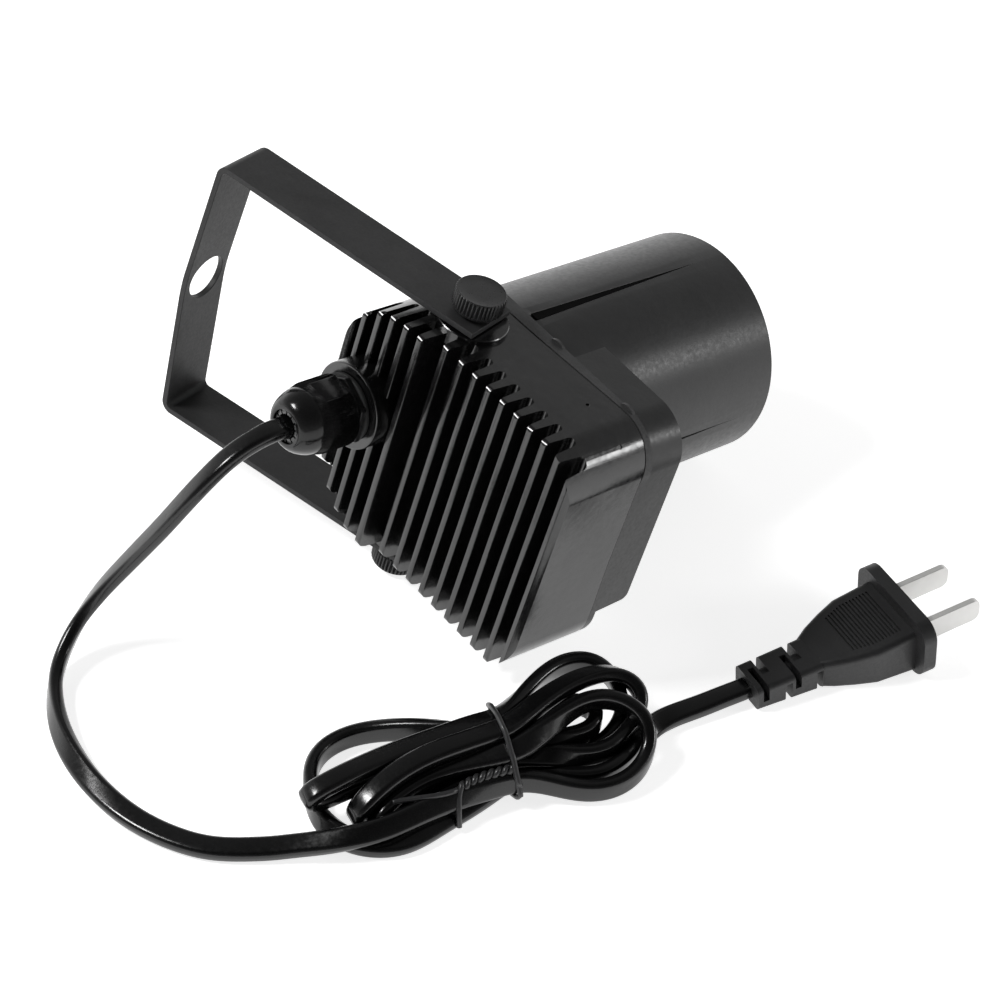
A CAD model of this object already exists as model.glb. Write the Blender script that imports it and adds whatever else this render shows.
import math

import bmesh
import bpy
import numpy as np
from mathutils import Matrix, Vector


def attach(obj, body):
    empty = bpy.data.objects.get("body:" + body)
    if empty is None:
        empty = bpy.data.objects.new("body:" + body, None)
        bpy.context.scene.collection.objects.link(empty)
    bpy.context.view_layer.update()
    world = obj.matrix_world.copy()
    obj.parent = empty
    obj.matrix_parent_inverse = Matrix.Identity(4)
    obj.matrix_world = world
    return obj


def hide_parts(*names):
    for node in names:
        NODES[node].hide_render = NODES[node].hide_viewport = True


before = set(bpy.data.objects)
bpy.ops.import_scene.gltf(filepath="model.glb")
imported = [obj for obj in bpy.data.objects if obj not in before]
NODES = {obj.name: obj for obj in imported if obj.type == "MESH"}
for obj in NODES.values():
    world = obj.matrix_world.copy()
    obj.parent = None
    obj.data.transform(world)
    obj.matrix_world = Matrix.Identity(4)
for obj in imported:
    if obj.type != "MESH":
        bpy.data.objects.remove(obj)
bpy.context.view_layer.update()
scene = bpy.context.scene
MM = 0.001

# ----------------------------------------------------------------- the camera
cam_data = bpy.data.cameras.new("camera")
cam_data.sensor_fit = "HORIZONTAL"
cam_data.angle = 2 * math.atan(500.5 / 2867.0)
cam_data.clip_start = 0.01
cam = bpy.data.objects.new("camera", cam_data)
scene.collection.objects.link(cam)
cam.matrix_world = (Matrix.Translation((-0.39032, 0.35777, 0.45824))
                    @ Matrix(((-0.66204, -0.74882, 0.03126), (0.50656, -0.41633, 0.75502),
                              (-0.55236, 0.51569, 0.65495))).transposed().to_4x4())
scene.camera = cam

# ------------------------------------------------------------------- the cord
# Route points repeated from the part, in millimetres, each with the direction
# that the cord's wide face looks in.
LAMP_Q = Matrix(((-0.98896, 0.0, -0.14821), (0.02555, -0.98502, -0.17052), (-0.14599, -0.17243, 0.97414)))
LAMP_T = Vector((-11.01, 36.18, 43.294))
SHIFT = Vector((-11.01, 36.18, 0.0))
GLAND_X, GLAND_Z = -11.5, 4.65
HANK = Vector((-63.0, 21.0, 0.0)) + SHIFT
E1 = Vector((-0.387, -0.922, 0.0)).normalized()
E2 = Vector((E1.y, -E1.x, 0.0))
CORD_W, CORD_T = 5.3, 3.2


def from_lamp(p):
    return LAMP_Q @ Vector(p) + LAMP_T


def floor_point(x, y, z, n):
    return Vector((x, y, z)) + SHIFT, Vector(n)


def hank_point(s, v, z):
    return HANK + E1 * s + E2 * v + Vector((0, 0, z))


def hp(s, v, z, n):
    return hank_point(s, v, z), E1 * n[0] + E2 * n[1] + Vector((0, 0, n[2]))


PLUG_AZ, PLUG_PITCH = math.radians(-103.6), math.radians(5.5)
L_DIR = Vector((math.cos(PLUG_PITCH) * math.cos(PLUG_AZ), math.cos(PLUG_PITCH) * math.sin(PLUG_AZ),
                math.sin(PLUG_PITCH)))
S_DIR = Vector((0, 0, 1)).cross(L_DIR).normalized()
W_DIR = L_DIR.cross(S_DIR) * -1
W_DIR = W_DIR if W_DIR.z > 0 else -W_DIR
X_P = L_DIR.cross(W_DIR)
PLUG_F = Vector((-88.6, -77.8, 8.0)) + SHIFT


def from_plug(x, y, z):
    return PLUG_F + X_P * x + L_DIR * y + W_DIR * z


GLAND_N = LAMP_Q @ Vector((0, 0, 1))
ROUTE = [(from_lamp((GLAND_X, y, GLAND_Z)), GLAND_N) for y in (-7.6, -14, -20, -25, -29)] + [
    floor_point(10.8, 30.0, 54.5, (0.0, 0.12, 1.0)),
    floor_point(11.7, 37.9, 52.4, (0.12, 0.35, 0.93)),
    floor_point(14.0, 45.8, 45.5, (0.25, 0.62, 0.74)),
    floor_point(18.5, 52.3, 35.1, (0.4, 0.75, 0.52)),
    floor_point(24.1, 57.9, 24.3, (0.5, 0.72, 0.45)),
    floor_point(28.1, 64.2, 15.0, (0.62, 0.68, 0.38)),
    floor_point(28.4, 71.6, 7.6, (0.8, 0.52, 0.28)),
    floor_point(22.5, 80.9, 2.9, (0.78, 0.6, 0.15)),
    floor_point(9.1, 89.0, 2.6, (0.4, 0.72, 0.5)),
    floor_point(-7.2, 92.7, 2.1, (0.12, 0.45, 0.86)),
    floor_point(-23.6, 91.7, 1.8, (0.0, 0.15, 0.98)),
    floor_point(-38.2, 85.6, 1.8, (-0.05, 0.1, 0.98)),
    floor_point(-47.3, 75.8, 2.0, (-0.15, 0.1, 0.97)),
    # into the hank, under its tie and round the near side
    hp(-51.3, 7.9, 2.4, (0, .1, 1)), hp(-44.9, 9.9, 3.5, (0, .2, 1)), hp(-38.5, 11.4, 4.8, (0, .3, 1)),
    hp(-30.6, 11.4, 5.4, (0, .5, .85)), hp(-24.5, 10.2, 5.5, (0, .7, .7)), hp(-18.5, 8.9, 5.5, (0, .85, .5)),
    hp(-12.7, 8.0, 5.6, (0, .95, .3)), hp(-6, 7.3, 5.6, (0, 1, .2)), hp(0, 7.0, 5.6, (0, 1, .1)),
    hp(5, 8.2, 4.8, (-.3, 1, 0)), hp(9.5, 10.2, 3.7, (-.3, .95, 0)), hp(15.1, 12.3, 2.9, (0, 1, 0)),
    hp(21.1, 12.4, 2.8, (.3, .95, 0)), hp(26.4, 10.2, 3.2, (.7, .7, 0)), hp(30.0, 6.8, 4.4, (.9, .4, 0)),
    hp(31.5, 4.0, 6.2, (1, .1, .1)), hp(31.6, 0.8, 8.4, (.95, -.3, .2)), hp(29.0, -2.5, 10.6, (.7, -.7, .2)),
    hp(24, -5.0, 12.0, (.2, -.97, .15)), hp(18.4, -4.9, 12.3, (-.3, -.9, .1)), hp(12.2, -2.4, 12.0, (-.3, -.85, -.2)),
    hp(6.0, 1.0, 11.6, (-.25, -.65, -.6)), hp(0, 3.4, 11.2, (0, -.4, -.9)),
    # first loop on the left
    hp(-7, 2.6, 10.4, (0, -.45, -.9)), hp(-15, 1.9, 9.5, (0, -.4, -.9)), hp(-22, 2.8, 8.8, (0, -.35, -.93)),
    hp(-28, 5.2, 7.8, (.2, -.3, -.93)), hp(-32, 7.2, 6.2, (.6, -.2, -.7)), hp(-33.8, 8.0, 4.4, (1, -.1, 0)),
    hp(-32, 7.8, 2.7, (.6, 0, .75)), hp(-27, 6.4, 2.1, (0, 0, 1)), hp(-21, 4.2, 3.2, (-.1, 0, 1)),
    hp(-15, 2.8, 4.5, (-.1, 0, 1)), hp(-8, 2.0, 5.7, (0, 0, 1)), hp(0, 1.6, 6.3, (0, 0, 1)),
    # second loop on the right
    hp(6, 2.8, 5.6, (0, .5, .85)), hp(13.8, 4.4, 5.0, (0, 1, .2)), hp(18.9, 4.9, 4.9, (.15, 1, 0)),
    hp(23.3, 4.0, 4.9, (.5, .85, 0)), hp(27.4, 1.4, 5.5, (.8, .6, 0)), hp(30.8, -1.2, 6.8, (.95, .3, .1)),
    hp(32.9, -3.4, 8.4, (1, .1, .1)), hp(33.2, -5.6, 9.9, (.95, -.3, .1)), hp(32.2, -8.0, 11.1, (.8, -.6, .15)),
    hp(29.6, -10.4, 12.3, (.5, -.75, .4)), hp(25.5, -11.4, 13.0, (.1, -.6, .8)), hp(20, -10.8, 13.4, (0, -.4, .9)),
    hp(14, -8.8, 13.5, (0, -.3, .95)), hp(7, -5.3, 13.4, (0, -.1, 1)), hp(0, -1.6, 13.3, (0, .1, 1)),
    # second loop on the left, which curls down at its end
    hp(-9, -0.4, 13.0, (0, .2, 1)), hp(-17, .2, 12.2, (-.1, .3, .95)), hp(-22.5, 1.4, 11.6, (-.15, .35, .93)),
    hp(-27, 3.0, 10.8, (-.2, .35, .9)), hp(-31.8, 5.2, 9.6, (-.35, .35, .87)), hp(-35.4, 6.9, 7.6, (-.75, .3, .5)),
    hp(-36.9, 7.2, 5.2, (-.98, .2, -.1)), hp(-35.5, 6.2, 2.9, (-.7, .1, -.7)), hp(-30.5, 3.6, 1.9, (-.1, 0, -1)),
    hp(-22, 0.4, 1.9, (0, 0, -1)), hp(-12, -1.7, 2.2, (0, 0, -1)), hp(0, -2.4, 2.95, (0, 0, -1)),
    # third loop on the right, at the back
    hp(7, -1.2, 2.9, (0, -.5, -.85)), hp(15.3, 0.7, 2.9, (0, -1, -.1)), hp(19.9, 0.9, 3.4, (-.2, -1, 0)),
    hp(23.6, 0.0, 4.2, (-.5, -.85, 0)), hp(26.7, -1.8, 5.4, (-.8, -.6, 0)), hp(29.0, -4.2, 6.9, (-.95, -.3, 0)),
    hp(29.9, -7.2, 8.4, (-1, 0, 0)), hp(30.0, -10.8, 9.6, (-.95, .3, -.1)), hp(29.1, -14.2, 10.6, (-.8, .6, -.1)),
    hp(27.0, -17.2, 11.3, (-.5, .85, -.1)), hp(23.5, -18.6, 11.8, (-.1, 1, -.1)), hp(18.4, -18.1, 12.1, (.3, .95, -.1)),
    hp(12.8, -15.3, 12.2, (.45, .85, -.15)), hp(6.7, -11.1, 12.1, (.35, .8, -.4)), hp(0, -6.5, 11.6, (0, .6, -.8)),
    # third loop on the left, the longest at the top
    hp(-8, -5.5, 11.2, (0, .2, -1)), hp(-18.6, -4.4, 10.9, (0, .1, -1)), hp(-26.3, -2.8, 11.3, (0, 0, -1)),
    hp(-34.3, -.6, 11.8, (0, 0, -1)), hp(-40.7, 1.3, 11.7, (.15, -.1, -1)), hp(-45.0, 2.2, 10.9, (.55, -.1, -.8)),
    hp(-47.0, 2.2, 9.3, (1, -.1, -.1)), hp(-45.4, 1.8, 7.6, (.6, 0, .8)), hp(-40.5, 0.4, 7.0, (0, 0, 1)),
    hp(-32, -1.8, 6.7, (0, 0, 1)), hp(-22, -3.6, 6.4, (0, 0, 1)), hp(-10, -4.4, 6.4, (0, 0, 1)),
    hp(0, -4.4, 6.4, (0, 0, 1)),
    # small loop on the right
    hp(6, -2.9, 6.2, (0, .5, .85)), hp(12.4, -1.0, 6.1, (-.1, .9, .3)), hp(17.4, -.5, 6.2, (.2, 1, 0)),
    hp(21, -1.7, 6.8, (.75, .65, 0)), hp(22.8, -4.4, 7.8, (1, 0, 0)), hp(21.3, -7.3, 8.8, (.6, -.8, 0)),
    hp(17.2, -8.1, 9.3, (-.1, -1, 0)), hp(12.5, -6.9, 9.6, (-.3, -.95, 0)), hp(6, -4.0, 9.8, (-.2, -.7, -.6)),
    hp(0, -1.6, 9.9, (0, -.1, -1)),
    # widest loop on the left, down to the floor and round under the lead
    hp(-5, -4.6, 9.3, (0, -.5, -.85)), hp(-11.1, -9.6, 7.7, (.35, -.9, -.3)), hp(-17.8, -14.3, 6.0, (.4, -.9, 0)),
    hp(-23.2, -17.3, 4.4, (.3, -.95, 0)), hp(-28.8, -19.0, 3.2, (0, -1, 0)), hp(-34.2, -18.3, 2.8, (-.5, -.85, 0)),
    hp(-38.6, -15.6, 2.75, (-.8, -.6, 0)), hp(-41.4, -11.6, 2.75, (-.95, -.25, 0)), hp(-42.8, -6.5, 2.75, (-1, 0, 0)),
    hp(-43.4, -0.8, 2.75, (-1, .1, 0)), hp(-42.6, 4.0, 2.6, (-.85, .5, .2)), hp(-39.8, 8.4, 2.2, (-.5, .5, .7)),
    hp(-35.6, 11.8, 1.9, (-.1, .4, .9)), hp(-30, 13.6, 2.1, (0, .6, .8)), hp(-24.7, 13.0, 2.5, (.2, .8, .6)),
    hp(-17.8, 10.2, 2.5, (.3, .8, .5)), hp(-11, 7.4, 2.2, (.2, .5, .8)), hp(-5, 4.8, 2.4, (0, .2, 1)),
    hp(0, 2.9, 2.95, (0, 0, 1)),
    # out of the hank to the plug
    hp(5, 3.4, 2.9, (0, .4, .9)), hp(10.6, 5.6, 2.8, (-.2, .9, .3)), hp(17.7, 7.6, 2.75, (0, 1, .1)),
    hp(23.1, 5.9, 2.7, (.5, .85, .1)), hp(28.3, 2.1, 2.6, (.6, .75, .2)), hp(31.9, -1.5, 2.5, (.5, .6, .6)),
    hp(35.6, -3.7, 2.3, (.15, .3, .95)), hp(40.1, -5.0, 2.3, (0, 0.1, 1)),
    floor_point(-76.2, -25.3, 2.5, (0, .1, 1)), floor_point(-77.8, -31.3, 2.9, (0, 0, 1)),
    (from_plug(0.5, -43.5, -0.9), W_DIR), (from_plug(0.5, -38.9, -0.9), W_DIR)]


def smooth(rows, steps):
    """Catmull-Rom curve through rows of numbers."""
    rows = np.array(rows, float)
    rows = np.vstack([2 * rows[0] - rows[1], rows, 2 * rows[-1] - rows[-2]])
    out = []
    for i in range(1, len(rows) - 2):
        a, b, c, d = rows[i - 1:i + 3]
        for k in range(steps):
            t = k / steps
            out.append(0.5 * (2 * b + (c - a) * t + (2 * a - 5 * b + 4 * c - d) * t * t
                              + (3 * b - a - 3 * c + d) * t ** 3))
    out.append(rows[-2])
    return np.array(out)


def even(rows, step):
    """The same curve at an even step, measured in its first three columns."""
    gaps = np.linalg.norm(np.diff(rows[:, :3], axis=0), axis=1)
    at = np.concatenate([[0], np.cumsum(gaps)])
    want = np.linspace(0, at[-1], max(2, round(at[-1] / step)) + 1)
    return np.stack([np.interp(want, at, rows[:, k]) for k in range(rows.shape[1])], 1)


def unit(a):
    return a / np.maximum(np.linalg.norm(a, axis=-1, keepdims=True), 1e-9)


def tangents(c):
    return unit(np.gradient(c, axis=0))


def settled(points, normals):
    """The cord as two rails, one for each core, moved apart until its turns
    lie beside and over each other, on the floor and inside the tie."""
    rows = even(smooth(np.hstack([points, normals]), 10), 2.4)
    c, n = rows[:, :3], rows[:, 3:]
    t = tangents(c)
    n = unit(n - (n * t).sum(1, keepdims=True) * t)
    w = np.cross(t, n)
    half = (CORD_W - CORD_T) / 2
    rails = np.stack([c + w * half, c - w * half], 0)          # 2, N, 3
    start = rails.copy()
    count = c.shape[0]
    h0 = np.array(HANK)
    s_along = (c - h0) @ np.array(E1)
    v_along = (c - h0) @ np.array(E2)
    floor = np.where((np.abs(s_along) < 3.0) & (np.abs(v_along) < 16), 2.98, CORD_T / 2 + 0.03)
    rest = np.linalg.norm(np.diff(c, axis=0), axis=1)
    index = np.concatenate([np.arange(count), np.arange(count)])
    fixed = (np.arange(count) < 30) | (np.arange(count) > count - 6)
    hold = np.where(fixed, 1.0, 0.012)
    near = np.abs(index[:, None] - index[None, :]) > 5
    gap = CORD_T + 0.06
    free = np.where(fixed, 0.0, 1.0)
    for k in range(260):
        rails += (start - rails) * hold[None, :, None]
        moved = rails - start
        for _ in range(2):
            inner = 0.25 * moved[:, :-2] + 0.5 * moved[:, 1:-1] + 0.25 * moved[:, 2:]
            moved[:, 1:-1] = inner
        rails = start + moved
        pts = rails.reshape(-1, 3)
        d = pts[:, None, :] - pts[None, :, :]
        dist = np.sqrt((d * d).sum(2)) + 1e-9
        hit = (dist < gap) & near
        push = np.where(hit, (gap - dist) / dist * 0.5, 0.0)
        step = (d * push[:, :, None]).sum(1)
        number = np.maximum(hit.sum(1), 1)[:, None]
        step = step / number ** 0.5
        rails = rails + step.reshape(2, count, 3) * free[None, :, None] * 0.8
        for _ in range(2):
            across = rails[0] - rails[1]
            size = np.linalg.norm(across, axis=1, keepdims=True)
            fix = across * (1 - 2 * half / np.maximum(size, 1e-6)) * 0.5 * 0.8
            rails[0] -= fix
            rails[1] += fix
            mid = (rails[0] + rails[1]) / 2
            seg = np.diff(mid, axis=0)
            size = np.linalg.norm(seg, axis=1)
            corr = seg * ((size - rest) / np.maximum(size, 1e-6) * 0.4)[:, None]
            shift = np.zeros_like(mid)
            shift[:-1] += corr
            shift[1:] -= corr
            rails += shift[None] * 0.5 * free[None, :, None]
            tang = tangents((rails[0] + rails[1]) / 2)
            across = rails[0] - rails[1]
            lean = (across * tang).sum(1, keepdims=True) * tang * 0.5
            rails[0] -= lean * 0.6
            rails[1] += lean * 0.6
        rails[:, :, 2] = np.maximum(rails[:, :, 2], floor[None, :])
    for _ in range(2):
        rails[:, 1:-1] = 0.25 * rails[:, :-2] + 0.5 * rails[:, 1:-1] + 0.25 * rails[:, 2:]
    centre = (rails[0] + rails[1]) / 2
    return centre, unit(rails[0] - rails[1])


points = np.array([list(p) for p, _ in ROUTE])
looks = unit(np.array([list(n) for _, n in ROUTE]))
way = tangents(points)
looks = unit(looks - (looks * way).sum(1, keepdims=True) * way)
for i in range(1, len(looks)):
    if looks[i] @ looks[i - 1] < 0:
        looks[i] *= -1


def sweep(name, centre, across, section, closed_ends=True):
    """A mesh made by carrying a section (across, out) along a centreline."""
    t = tangents(centre)
    w = unit(across - (across * t).sum(1, keepdims=True) * t)
    n = np.cross(w, t)
    sec = np.array(section)
    ring = centre[:, None, :] + w[:, None, :] * sec[None, :, 0, None] + n[:, None, :] * sec[None, :, 1, None]
    k = len(sec)
    verts = (ring.reshape(-1, 3) * MM).tolist()
    faces = []
    for i in range(len(centre) - 1):
        a, b = i * k, (i + 1) * k
        faces += [(a + j, a + (j + 1) % k, b + (j + 1) % k, b + j) for j in range(k)]
    if closed_ends:
        faces.append(tuple(range(k))[::-1])
        faces.append(tuple(range((len(centre) - 1) * k, len(centre) * k)))
    mesh = bpy.data.meshes.new(name)
    mesh.from_pydata(verts, [], faces)
    bm = bmesh.new()
    bm.from_mesh(mesh)
    bmesh.ops.recalc_face_normals(bm, faces=bm.faces)
    bm.to_mesh(mesh)
    bm.free()
    mesh.polygons.foreach_set("use_smooth", [True] * len(mesh.polygons))
    ob = bpy.data.objects.new(name, mesh)
    scene.collection.objects.link(ob)
    return ob


def pill_section(w, t, r, n=5):
    out = []
    for cx, cy, a0 in ((w / 2 - r, t / 2 - r, 0), (-w / 2 + r, t / 2 - r, 90),
                       (-w / 2 + r, -t / 2 + r, 180), (w / 2 - r, -t / 2 + r, 270)):
        for k in range(n + 1):
            a = math.radians(a0 + 90 * k / n)
            out.append((cx + r * math.cos(a), cy + r * math.sin(a)))
    return out


mid, across = settled(points, looks)
fine = even(smooth(np.hstack([mid, across]), 4), 1.1)
cord = sweep("cord", fine[:, :3], unit(fine[:, 3:]), pill_section(CORD_W, CORD_T, 1.25))
cord_length = float(np.linalg.norm(np.diff(fine[:, :3], axis=0), axis=1).sum())
print("cord length %.1f mm" % cord_length)


# -------------------------------------------------------------------- the tie
TIE_R = 0.62
along, side = np.array(E1), np.array(E2)
local = mid - np.array(HANK)
edge = []
for sign in (-1, 1):
    rail = local + across * sign * (CORD_W - CORD_T) / 2
    keep = (np.abs(rail @ along) < 2.4) & (np.abs(rail @ side) < 16)
    edge.append(np.stack([(rail @ side)[keep], rail[keep, 2]], 1))
edge = np.vstack(edge)
turns = np.linspace(0, 2 * math.pi, 241)[:-1]
ways = np.stack([np.cos(turns), np.sin(turns)], 1)
reach = (edge @ ways.T).max(0) + CORD_T / 2 + TIE_R - 0.08
for _ in range(6):
    reach = 0.25 * np.roll(reach, 1) + 0.5 * reach + 0.25 * np.roll(reach, -1)
slope = (np.roll(reach, -1) - np.roll(reach, 1)) / (2 * (turns[1] - turns[0]))
hull = reach[:, None] * ways + slope[:, None] * np.stack([-np.sin(turns), np.cos(turns)], 1)
hull[:, 1] = np.maximum(hull[:, 1], TIE_R + 0.04)


def on_hull(angle, lift=0.0):
    k = (math.degrees(angle) % 360) / 1.5
    i, f = int(k) % 240, k - int(k)
    p = hull[i] * (1 - f) + hull[(i + 1) % 240] * f
    q = p + lift * np.array([math.cos(angle), math.sin(angle)])
    return q


def tie_point(s, v, z):
    return list(hank_point(float(s), float(v), float(z)))


def wire_section(r, n=10):
    return [(r * math.cos(2 * math.pi * k / n), r * math.sin(2 * math.pi * k / n)) for k in range(n)]


def bent_wire(name, pts, r, step=0.45):
    line = even(smooth(np.array(pts, float), 8), step)
    t = tangents(line)
    ref = np.zeros_like(t)
    u = np.cross(t[0], [0.3, 0.2, 1.0])
    for i in range(len(t)):
        u = u - (u @ t[i]) * t[i]
        u = u / np.linalg.norm(u)
        ref[i] = u
    return sweep(name, line, ref, wire_section(r))


# both wires leave one knot at the front: A goes over the top, B underneath
KNOT = math.radians(8)
ring_a, ring_b = [], []
for k in range(0, 27):
    a = KNOT + math.radians(188) * k / 26
    v, z = on_hull(a)
    ring_a.append(tie_point(-0.9 * math.sin(math.pi * k / 26) * 1.2 - 0.35, v, z))
for k in range(0, 27):
    a = KNOT - math.radians(180) * k / 26
    v, z = on_hull(a)
    ring_b.append(tie_point(-0.35 - 0.5 * math.sin(math.pi * k / 26), v, z))
TWIST = [(-0.2, 6.6, 9.6), (-3.4, 6.6, 9.4), (-7.0, 6.6, 9.1), (-10.6, 7.0, 8.8), (-13.4, 7.9, 8.6)]
axis = even(smooth(np.array(TWIST), 8), 0.45)
length = 0.45 * (len(axis) - 1)
wires = {"a": [], "b": []}
ta = tangents(axis)
for i, p in enumerate(axis):
    u = np.cross(ta[i], [0, 0.5, 1.0])
    u /= np.linalg.norm(u)
    w = np.cross(ta[i], u)
    turn = 2 * math.pi * 0.45 * i / 3.6
    for key, off in (("a", 0.0), ("b", math.pi)):
        q = p + (u * math.cos(turn + off) + w * math.sin(turn + off)) * TIE_R * 0.98
        wires[key].append(tie_point(*q))
end_a = [tie_point(-14.2, 9.4, 7.6), tie_point(-14.7, 10.9, 5.6), tie_point(-15.0, 12.0, 3.4), tie_point(-15.1, 12.6, 1.6)]
end_b = [tie_point(-15.6, 8.9, 9.0), tie_point(-18.6, 8.9, 8.9), tie_point(-22.5, 8.3, 8.7), tie_point(-26.5, 7.7, 8.5),
         tie_point(-28.6, 7.5, 8.4)]
tie_a = bent_wire("tie_wire_a", ring_a[::-1][:-1] + wires["a"][2:] + end_a, TIE_R)
tie_b = bent_wire("tie_wire_b", ring_b[::-1][:-1] + wires["b"][2:] + end_b, TIE_R)


# ------------------------------------------------------------------ materials
def finish(name, color, rough, ior=1.5, metal=0.0, spread=0.05, mottle=0.25, bump=0.02, grain=900.0,
           coarse=60.0, coat=0.0, coat_rough=0.05, specks=0.0, transmission=0.0, relief=0.0, relief_scale=200.0,
           depth=0.00004, specular=0.5):
    """A painted, moulded or plated finish: colour and roughness that vary a
    little, a fine grain and a slow ripple in the surface."""
    m = bpy.data.materials.new(name)
    m.use_nodes = True
    nt = m.node_tree
    b = nt.nodes["Principled BSDF"]
    b.inputs["Metallic"].default_value = metal
    b.inputs["IOR"].default_value = ior
    b.inputs["Coat Weight"].default_value = coat
    b.inputs["Coat Roughness"].default_value = coat_rough
    b.inputs["Transmission Weight"].default_value = transmission
    b.inputs["Specular IOR Level"].default_value = specular

    def node(kind, **values):
        n = nt.nodes.new(kind)
        for k, v in values.items():
            if k in n.inputs:
                n.inputs[k].default_value = v
            else:
                setattr(n, k, v)
        return n

    place = node("ShaderNodeTexCoord")
    slow = node("ShaderNodeTexNoise", Scale=coarse, Detail=4.0, Roughness=0.6)
    quick = node("ShaderNodeTexNoise", Scale=grain, Detail=3.0, Roughness=0.55)
    for n in (slow, quick):
        nt.links.new(place.outputs["Object"], n.inputs["Vector"])
    ramp = node("ShaderNodeValToRGB")
    dark = tuple(c * (1 - mottle) for c in color)
    light = tuple(min(1.0, c * (1 + mottle)) for c in color)
    ramp.color_ramp.elements[0].position = 0.3
    ramp.color_ramp.elements[1].position = 0.7
    ramp.color_ramp.elements[0].color = (*dark, 1)
    ramp.color_ramp.elements[1].color = (*light, 1)
    nt.links.new(slow.outputs["Fac"], ramp.inputs["Fac"])
    out = ramp.outputs["Color"]
    if specks:
        dust = node("ShaderNodeTexNoise", Scale=grain * 1.7, Detail=1.0, Roughness=0.4)
        nt.links.new(place.outputs["Object"], dust.inputs["Vector"])
        pick = node("ShaderNodeMapRange")
        pick.inputs["From Min"].default_value = 0.76
        pick.inputs["From Max"].default_value = 0.84
        pick.inputs["To Max"].default_value = specks
        nt.links.new(dust.outputs["Fac"], pick.inputs["Value"])
        mix = node("ShaderNodeMix", data_type="RGBA")
        nt.links.new(pick.outputs["Result"], mix.inputs["Factor"])
        nt.links.new(out, mix.inputs[6])
        mix.inputs[7].default_value = (0.35, 0.34, 0.33, 1)
        out = mix.outputs[2]
    nt.links.new(out, b.inputs["Base Color"])
    level = node("ShaderNodeMapRange")
    level.inputs["From Min"].default_value = 0.3
    level.inputs["From Max"].default_value = 0.7
    level.inputs["To Min"].default_value = max(0.02, rough - spread)
    level.inputs["To Max"].default_value = rough + spread
    nt.links.new(quick.outputs["Fac"], level.inputs["Value"])
    nt.links.new(level.outputs["Result"], b.inputs["Roughness"])
    first = node("ShaderNodeBump", Strength=bump, Distance=depth)
    nt.links.new(quick.outputs["Fac"], first.inputs["Height"])
    last = first
    if relief:
        last = node("ShaderNodeBump", Strength=relief, Distance=depth * 4)
        wave = node("ShaderNodeTexNoise", Scale=relief_scale, Detail=2.0, Roughness=0.5)
        nt.links.new(place.outputs["Object"], wave.inputs["Vector"])
        nt.links.new(wave.outputs["Fac"], last.inputs["Height"])
        nt.links.new(first.outputs["Normal"], last.inputs["Normal"])
    nt.links.new(last.outputs["Normal"], b.inputs["Normal"])
    return m


PAINT = finish("casting_paint", (0.0035, 0.0035, 0.0037), 0.2, 1.68, spread=0.05, bump=0.25, grain=700, relief=0.4,
               relief_scale=160, specks=0.05)
ROUGH_PAINT = finish("casting_paint_rough", (0.014, 0.014, 0.0143), 0.36, 1.5, spread=0.06, bump=0.4, grain=1000,
                     relief=0.5, relief_scale=120, specks=0.05)
CAST_RIM = finish("casting_rim", (0.035, 0.035, 0.0355), 0.6, 1.5, spread=0.08, bump=0.6, grain=1800, relief=0.5,
                  relief_scale=420)
STEEL_PAINT = finish("yoke_paint", (0.024, 0.024, 0.0245), 0.5, 1.5, spread=0.06, bump=0.5, grain=1500, relief=0.3,
                     relief_scale=240, specks=0.08, specular=0.3)
KNOB = finish("knob_plastic", (0.016, 0.016, 0.0165), 0.32, 1.5, spread=0.06, bump=0.4, grain=1800)
NYLON = finish("gland_nylon", (0.006, 0.006, 0.0062), 0.32, 1.52, spread=0.06, bump=0.3, grain=1300, relief=0.2)
GLOSS = finish("gland_gloss", (0.008, 0.008, 0.0082), 0.16, 1.53, spread=0.04, bump=0.2, grain=1100, relief=0.3,
               relief_scale=300, specular=0.36)
RECESS = finish("casting_recess", (0.0012, 0.0012, 0.0012), 0.7, 1.45, spread=0.03, bump=0.2, grain=900, specular=0.05)
CLAW = finish("claw_nylon", (0.1, 0.1, 0.101), 0.28, 1.52, spread=0.06, bump=0.3, grain=1300)
PVC = finish("cord_pvc_black", (0.0035, 0.0035, 0.0037), 0.2, 1.54, spread=0.05, bump=0.25, grain=1100, relief=0.5,
             relief_scale=110)
PLUG = finish("plug_rubber", (0.014, 0.014, 0.0145), 0.46, 1.5, spread=0.07, bump=0.5, grain=1600, relief=0.25,
              relief_scale=260, specks=0.06)
TIE = finish("tie_plastic", (0.03, 0.03, 0.031), 0.34, 1.5, spread=0.08, bump=0.4, grain=2000)
RUBBER = finish("seal_rubber", (0.012, 0.012, 0.012), 0.7, 1.48, spread=0.08, bump=0.5, grain=1800)
BLADE = finish("blade_plate", (0.74, 0.735, 0.72), 0.42, 1.5, metal=0.5, spread=0.08, mottle=0.05, bump=0.3, grain=1200,
               coarse=150)
ZINC = finish("screw_zinc", (0.56, 0.56, 0.55), 0.32, 1.5, metal=1.0, spread=0.1, mottle=0.1, bump=0.4, grain=1500)
GLASS = finish("lens_glass", (0.9, 0.93, 0.93), 0.04, 1.5, spread=0.01, mottle=0.01, bump=0.02, grain=300,
               transmission=0.95)
ACRYLIC = finish("optic_acrylic", (0.92, 0.94, 0.95), 0.06, 1.49, spread=0.02, mottle=0.01, bump=0.02, grain=400,
                 transmission=0.95)
PHOSPHOR = finish("led_phosphor", (0.82, 0.68, 0.16), 0.4, 1.45, spread=0.05, mottle=0.06, bump=0.3, grain=1500)
WHITE_BOARD = finish("led_board_mask", (0.72, 0.72, 0.7), 0.42, 1.5, spread=0.05, mottle=0.04, bump=0.3, grain=1500)
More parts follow.
